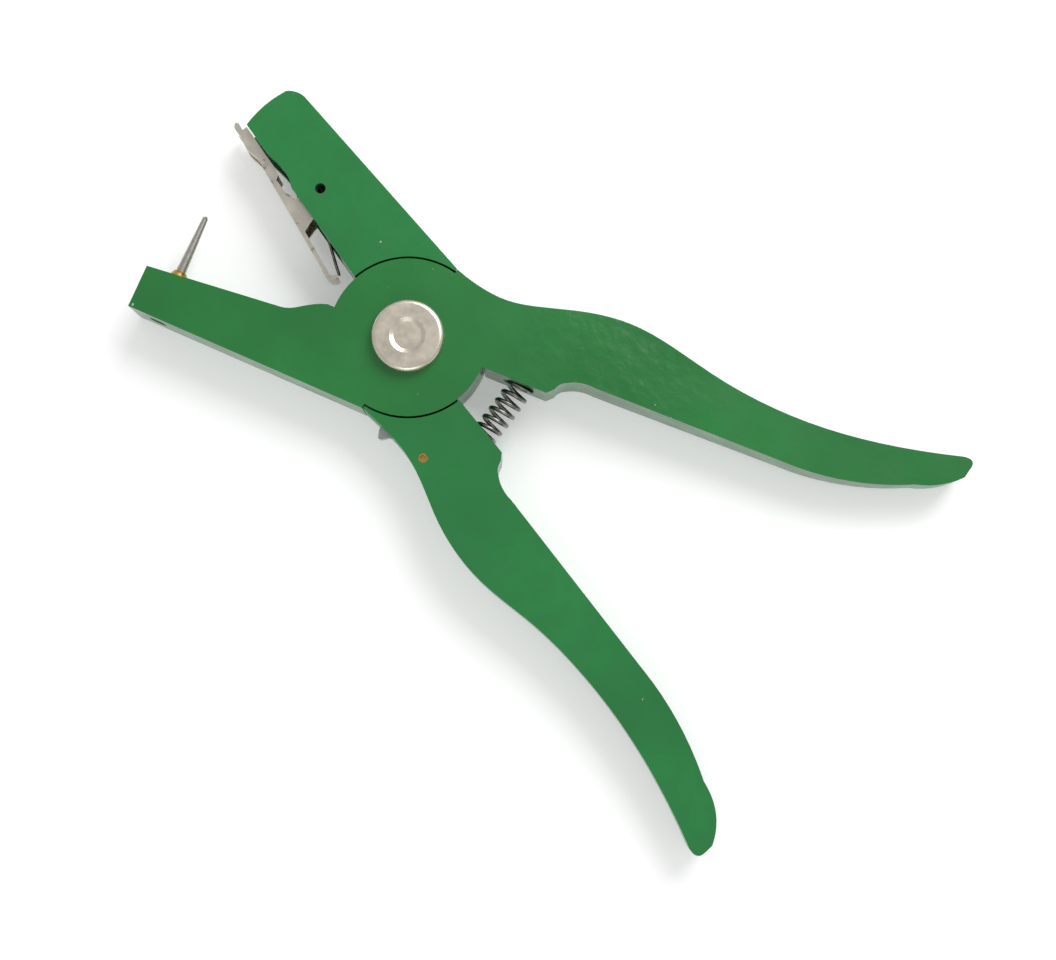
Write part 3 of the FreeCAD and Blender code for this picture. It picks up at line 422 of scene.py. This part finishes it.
class APPLICATOR_OT_pivot(bpy.types.Operator):
    """Nickel rivet, its bushing and the washers"""
    bl_idname = "applicator.pivot"
    bl_label = "Pivot"

    def execute(self, context):
        finish = context.scene.applicator_finishes
        # The rivet's warm cream is partly a painted reflection of a warm room, not only the nickel's tint.
        dress(["pivot_rivet"], plated_metal(
            "nickel_plated_rivet", finish.nickel, 0.30, spots=shade(finish.nickel, 0.45), spot_level=0.70))
        dress(["pivot_bushing", "rear_washer"], plated_metal("zinc_plated_washer", finish.zinc, 0.38))
        dress(["thrust_washer"], nylon("moulded_nylon_washer", finish.nylon, finish.nylon_shade))
        return {"FINISHED"}


class APPLICATOR_OT_piercing_pin(bpy.types.Operator):
    """Ground steel pin with its collar and plug"""
    bl_idname = "applicator.piercing_pin"
    bl_label = "Piercing pin"

    def execute(self, context):
        finish = context.scene.applicator_finishes
        dress(["applicator_pin"], plated_metal(
            "ground_stainless_pin", finish.pin_steel, 0.30, grain=0.5,
            spots=shade(finish.pin_steel, 0.4), spot_size=1.5, spot_level=0.62))
        dress(["pin_collar"], plated_metal(
            "tarnished_brass_collar", finish.brass, 0.42, spots=finish.rust, spot_size=1.6, spot_level=0.5))
        dress(["pin_plug_screw"], plated_metal("blacked_steel_plug", shade(finish.zinc, 0.4), 0.45))
        return {"FINISHED"}


class APPLICATOR_OT_springs(bpy.types.Operator):
    """Return spring between the grips, and the two small springs"""
    bl_idname = "applicator.springs"
    bl_label = "Springs"

    def execute(self, context):
        finish, sizes = context.scene.applicator_finishes, context.scene.applicator_sizes
        wire_steel = plated_metal(
            "oil_tempered_wire", finish.spring_steel, 0.30, grain=0.6,
            spots=shade(finish.spring_steel, 0.35), spot_size=2.0, spot_level=0.6)
        low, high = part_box("return_spring")
        spring = new_piece("return_coil", return_coil(low, high, sizes), wire_steel)
        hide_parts("return_spring")
        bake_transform(spring)
        dress(["clip_spring", "latch_spring"], wire_steel)
        return {"FINISHED"}


class APPLICATOR_OT_tag_clip(bpy.types.Operator):
    """Plated sheet clip with its roll pin"""
    bl_idname = "applicator.tag_clip"
    bl_label = "Tag clip"

    def execute(self, context):
        finish = context.scene.applicator_finishes
        dress(["tag_clip"], plated_metal(
            "nickel_plated_sheet", finish.clip_nickel, 0.28,
            spots=shade(finish.clip_nickel, 0.35), spot_size=3.0, spot_level=0.6))
        # The roll pin is near-black, a painted shade for the dark hole it sits in.
        dress(["clip_roll_pin"], plated_metal("painted_shade_roll_pin", finish.roll_pin_painted_shade, 0.5))
        return {"FINISHED"}


class APPLICATOR_OT_latch(bpy.types.Operator):
    """Zinc latch on its brass pin"""
    bl_idname = "applicator.latch"
    bl_label = "Latch"

    def execute(self, context):
        finish = context.scene.applicator_finishes
        dress(["latch"], plated_metal("zinc_plated_latch", finish.zinc, 0.4))
        dress(["latch_pin"], plated_metal(
            "worn_brass_pin", finish.brass, 0.35, spots=finish.rust, spot_size=1.2, spot_level=0.55))
        return {"FINISHED"}


OPERATORS = (
    APPLICATOR_OT_stage,
    APPLICATOR_OT_levers,
    APPLICATOR_OT_pivot,
    APPLICATOR_OT_piercing_pin,
    APPLICATOR_OT_springs,
    APPLICATOR_OT_tag_clip,
    APPLICATOR_OT_latch,
)


class APPLICATOR_PT_panel(bpy.types.Panel):
    """Lists the settings and the pieces"""
    bl_idname = "APPLICATOR_PT_panel"
    bl_label = "Ear tag applicator"
    bl_space_type = "VIEW_3D"
    bl_region_type = "UI"
    bl_category = "Applicator"

    def draw(self, context):
        for settings in (context.scene.applicator_finishes, context.scene.applicator_sizes):
            box = self.layout.box()
            for name in settings.__annotations__:
                box.prop(settings, name)
        for operator in OPERATORS:
            self.layout.operator(operator.bl_idname)


CLASSES = (ApplicatorFinishes, ApplicatorSizes) + OPERATORS + (APPLICATOR_PT_panel,)


def register():
    for cls in CLASSES:
        bpy.utils.register_class(cls)
    bpy.types.Scene.applicator_finishes = PointerProperty(type=ApplicatorFinishes)
    bpy.types.Scene.applicator_sizes = PointerProperty(type=ApplicatorSizes)


def unregister():
    del bpy.types.Scene.applicator_sizes
    del bpy.types.Scene.applicator_finishes
    for cls in reversed(CLASSES):
        bpy.utils.unregister_class(cls)


def main():
    register()
    for operator in OPERATORS:
        group, name = operator.bl_idname.split(".")
        getattr(getattr(bpy.ops, group), name)()


if __name__ == "__main__":
    main()
